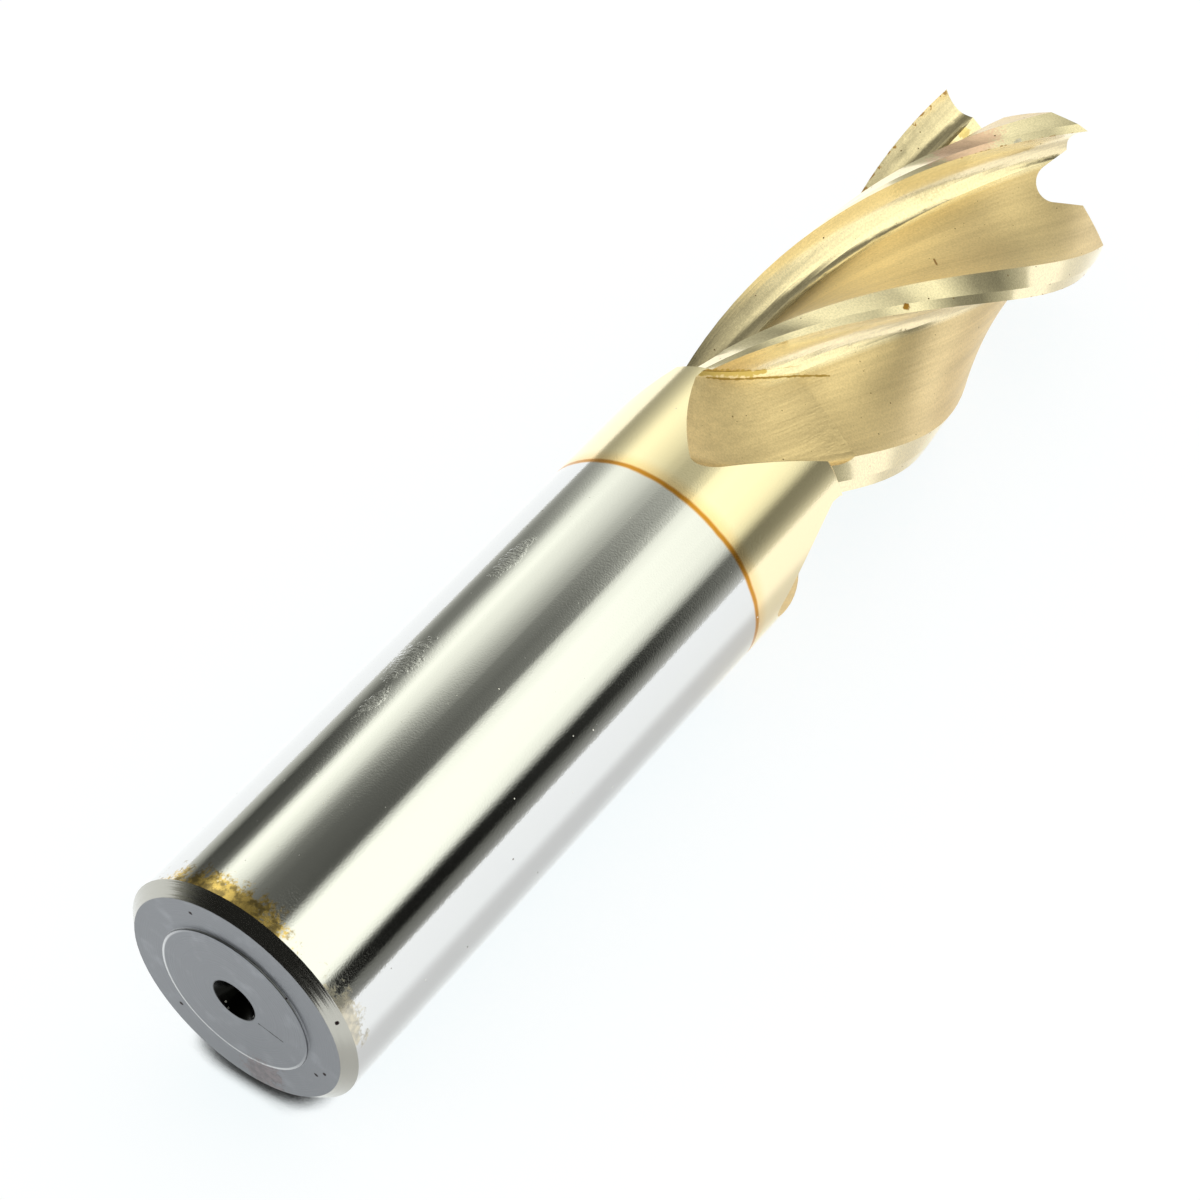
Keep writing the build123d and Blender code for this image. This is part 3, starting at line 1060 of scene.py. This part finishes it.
@dataclass(frozen=True)
class ToolFinish:
    """Bright ground steel with a gold coating on the cutting end. Lengths are in millimetres.

    Args:
        steel: Ground steel of the shank.
        shank_gold: Coating on the shank.
        glow: Warmer coating just above the line where it starts.
        fringe: That line.
        wander: How far the line wanders up and down.
        glow_height: Height above the line at which the glow ends.
        scuff_depth: Depth of the scuffs and the grain of the shank, in metres.
        land_gold: Coating on the lands.
        flute_gold: Coating in the flutes.
        rake_gold: Coating on the faces that cut.
        line_depth: Depth of the lines in the flutes, in metres.
        worn: Surface where the coating is worn off.
        mirrored_gold: Paler colour painted into the flutes where another face mirrors them.
        end_steel: Turned steel of the shank end.
        end_pale: Its paler clouds.
        end_clouds: Where they are.
        ring: Painted highlight on the edge of the raised pad, bright on one side only.
        ring_radius: Its radius.
        pad_depth: Depth of that edge's relief, in metres.
        turned_depth: Depth of the turned lines, in metres.
        chamfer: Ground chamfer round the shank end.
        hole: Near-black painted shade inside the centre hole.
    """

    steel: Metal = Metal((0.69, 0.69, 0.685), 0.04)
    shank_gold: Metal = Metal((0.90, 0.79, 0.52), 0.09)
    glow: Metal = Metal((0.90, 0.58, 0.20), 0.12)
    fringe: Metal = Metal((0.55, 0.25, 0.03), 0.16)
    wander: float = 0.30
    glow_height: float = 1.6
    scuff_depth: float = 0.012 * MM
    land_gold: Metal = Metal((0.90, 0.79, 0.52), 0.13)
    flute_gold: Metal = Metal((0.79, 0.61, 0.32), 0.32)
    rake_gold: Metal = Metal((0.87, 0.74, 0.47), 0.17)
    line_depth: float = 0.006 * MM
    worn: Metal = Metal((0.55, 0.33, 0.12), 0.4)
    mirrored_gold: Colour = (0.90, 0.86, 0.74)
    end_steel: Metal = Metal((0.215, 0.222, 0.235), 0.40)
    end_pale: Metal = Metal((0.28, 0.29, 0.31), 0.36)
    end_clouds: Cloud = Cloud(scale=0.5, detail=3.0, low=0.5, high=0.9)
    ring: Metal = Metal((0.56, 0.565, 0.57), 0.28)
    ring_radius: float = 6.33
    pad_depth: float = 0.05 * MM
    turned_depth: float = 0.008 * MM
    chamfer: Metal = Metal((0.44, 0.43, 0.385), 0.20)
    hole: Metal = Metal((0.008, 0.008, 0.007), 0.25)

    def build(self, form: ToolForm) -> list[bpy.types.Material]:
        """Makes the materials.

        Args:
            form: The tool's sizes.

        Returns:
            The materials, in the order of the kinds of surface.
        """
        effects = Effects(form)
        kinds = {
            Surface.SHANK: ("ground_shank", self.steel, self.build_shank),
            Surface.LAND: ("coated_land", self.land_gold, self.build_land),
            Surface.FLUTE: ("coated_flute", self.flute_gold, self.build_flute),
            Surface.END: ("turned_end", self.end_steel, self.build_end),
        }
        materials = []
        for _, (name, bare, put_on) in sorted(kinds.items()):
            finish = Finish(name, effects, bare)
            put_on(finish)
            materials.append(finish.close())
        return materials

    def build_shank(self, finish: Finish) -> None:
        """Makes the ground steel of the shank, with the start of the coating at its upper end.

        Args:
            finish: The bare finish.
        """
        nodes, at = finish.nodes, finish.at
        wander = nodes.noise(at["Point"], scale=0.35, detail=2.0)
        line = finish.effects.form.coat_line / MM + self.wander / 2
        rise = nodes.math("MULTIPLY_ADD", wander, self.wander, at["Height"])
        rise = nodes.math("SUBTRACT", rise, line)
        finish.coat(nodes.span(rise, low=-0.06, high=0.10), self.shank_gold)
        glow = nodes.span(rise, low=self.glow_height, high=0.0, end=0.55)
        glow = nodes.math("MULTIPLY", glow, nodes.span(rise, low=-0.35, high=-0.05))
        finish.coat(glow, self.glow)
        away = nodes.math("ABSOLUTE", rise)
        finish.coat(nodes.span(away, low=0.34, high=0.08), self.fringe)
        grain = nodes.noise(at["Point"], scale=6.5, detail=3.0)
        finish.roughen(grain, amount=0.04)
        finish.stain(*SHANK_STAINS)
        finish.scatter(SHANK_PITS)
        finish.scatter(SHANK_DUST)
        stretched = nodes.vector("MULTIPLY", at["Point"], (0.7, 0.7, 2.2))
        scuffs = nodes.use(finish.effects.lines, Vector=stretched, Scale=2.4)["Mask"]
        scuffs = nodes.math("MULTIPLY", scuffs, 0.9)
        relief = nodes.math("MULTIPLY", grain, 0.20)
        for patch in SHANK_SCUFFS:
            scuffed = finish.place(finish.effects.patch, patch)["Mask"]
            relief = nodes.math("MULTIPLY_ADD", scuffed, scuffs, relief)
        finish.normal = nodes.bump(relief, self.scuff_depth)

    def build_land(self, finish: Finish) -> None:
        """Makes the coating on the lands, worn off in places along the cutting edges.

        Args:
            finish: The bare finish.
        """
        finish.speckle()
        finish.stain(*LAND_STAINS)
        finish.wear(self.worn)
        finish.stain(LAND_CHIP)
        finish.draw(LAND_LINE)
        finish.scatter(LAND_PITS)

    def build_flute(self, finish: Finish) -> None:
        """Makes the coating in the flutes, over the lines that the grinding wheel left, with painted
        shade and highlights along the crease, painted shade on the upper rake and paler painted
        reflections.

        Args:
            finish: The bare finish.
        """
        nodes, at = finish.nodes, finish.at
        rake = nodes.span(nodes.math("ABSOLUTE", at["Behind"]), low=1.3, high=0.7)
        rake = nodes.math("MULTIPLY", rake, nodes.span(at["Height"], low=63.5, high=68.0))
        finish.coat(rake, self.rake_gold)
        finish.stain(FLUTE_PAINTED_SHADE)
        finish.speckle()
        lines = finish.effects.lines
        fine = nodes.use(lines, Vector=at["Unwound"], Scale=4.5)["Mask"]
        broad = nodes.use(lines, Vector=at["Unwound"], Scale=0.9)["Mask"]
        level = nodes.math("MULTIPLY_ADD", fine, -0.06, 1.08)
        finish.tone(nodes.math("MULTIPLY_ADD", broad, -0.14, level))
        finish.roughen(fine, amount=0.05)
        relief = nodes.math("ADD", fine, broad)
        weaker = nodes.span(rake, 0.0, 1.0, start=1.0, end=0.35)
        finish.normal = nodes.bump(nodes.math("MULTIPLY", relief, weaker), self.line_depth)
        finish.wear(self.worn)
        finish.draw(*FLUTE_NICK_AND_PAINTED_CREASE)
        finish.stain(FLUTE_NICK)
        finish.scatter(FLUTE_PITS)
        finish.scatter(FLUTE_SPECKS)
        finish.pale(share=0.5, colour=self.mirrored_gold)

    def build_end(self, finish: Finish) -> None:
        """Makes the turned steel of the shank end, with its chamfer and its centre hole.

        Args:
            finish: The bare finish.
        """
        nodes, at = finish.nodes, finish.at
        radius = at["Radius"]
        finish.coat(nodes.cloud(at["Point"], self.end_clouds), self.end_pale)
        away = nodes.math("ABSOLUTE", nodes.math("SUBTRACT", radius, self.ring_radius))
        # Painted highlight: a bright band on the pad's edge, shown only on the side where X is below
        # zero
        ring = nodes.span(away, low=0.16, high=0.05)
        lit_side = nodes.span(nodes.split(at["Point"])[0], low=4.0, high=-3.0)
        finish.coat(nodes.math("MULTIPLY", ring, lit_side), self.ring)
        outward = nodes.combine(radius, 0.0, 0.0)
        turned = nodes.use(finish.effects.lines, Vector=outward, Scale=5.0)["Mask"]
        pad = nodes.span(radius, low=6.50, high=6.15)
        finish.normal = nodes.bump(pad, self.pad_depth, Normal=nodes.bump(turned, self.turned_depth))
        finish.stain(END_STAIN)
        finish.draw(END_SCRATCH)
        finish.coat(nodes.span(radius, low=9.08, high=9.14), self.chamfer)
        finish.stain(*END_PITS)
        finish.scatter(END_SPECKS)
        # Painted shade: the inside of the centre hole is coloured nearly black
        hole = nodes.span(radius, low=1.95, high=1.80)
        finish.coat(hole, self.hole)
        # Painted glints scattered in the mouth of the centre hole
        mouth = nodes.math("MULTIPLY", nodes.span(radius, low=1.3, high=1.6), hole)
        finish.scatter(HOLE_PAINTED_GLINTS, within=mouth)


@dataclass
class EndMill:
    """The tool itself, which keeps its node and gets its finishes.

    Args:
        form: The tool's sizes.
        finish: The tool's finishes.
        wall_outward: How squarely a face of the shank's wall points away from the axis.
        wall_slack: How far inside the shank's radius such a face may lie.
        hole_box: Radius and height inside which the faces of the centre hole lie.
        land_outward: How squarely a face of a land points away from the axis.
        land_radius: Radius outside which the lands lie.
        land_slack: How far a land may reach below the start of the lands.
        shank_slack: How far the shank's wall may reach above it.
    """

    form: ToolForm
    finish: ToolFinish = ToolFinish()
    wall_outward: float = 0.99
    wall_slack: float = 0.12 * MM
    hole_box: Range = (5 * MM, 6 * MM)
    land_outward: float = 0.9
    land_radius: float = 8.4 * MM
    land_slack: float = 1 * MM
    shank_slack: float = 0.2 * MM

    def dress(self, node: bpy.types.Object) -> None:
        """Gives each face of the node its finish.

        Args:
            node: The tool's object.
        """
        mesh = node.data
        mesh.materials.clear()
        for material in self.finish.build(self.form):
            mesh.materials.append(material)
        for face in mesh.polygons:
            face.material_index = self.surface(face)
        LOG.info("dressed %s", node.name)

    def surface(self, face: bpy.types.MeshPolygon) -> Surface:
        """Gives the kind of surface that a face belongs to.

        Args:
            face: The face.

        Returns:
            Its kind.
        """
        centre = face.center
        radius = math.hypot(centre.x, centre.y)
        outward = (face.normal.x * centre.x + face.normal.y * centre.y) / max(radius, MM)
        on_wall = outward > self.wall_outward and radius > self.form.shank_radius - self.wall_slack
        hole_radius, hole_height = self.hole_box
        if radius < hole_radius and centre.z < hole_height:
            return Surface.END
        if centre.z < self.form.end_height and not on_wall:
            return Surface.END
        if on_wall and centre.z < self.form.land_start + self.shank_slack:
            return Surface.SHANK
        on_land = centre.z > self.form.land_start - self.land_slack and radius > self.land_radius
        if on_land and outward > self.land_outward:
            return Surface.LAND
        return Surface.FLUTE


def main() -> None:
    """Builds the stage and dresses the tool."""
    logging.basicConfig(level=logging.INFO, format="%(name)s: %(message)s")
    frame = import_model()
    bpy.context.scene.view_settings.view_transform = "Standard"
    form = ToolForm.from_frame()
    Studio().build(form)
    EndMill(form).dress(frame["nodes"][NODE])


if __name__ == "__main__":
    main()
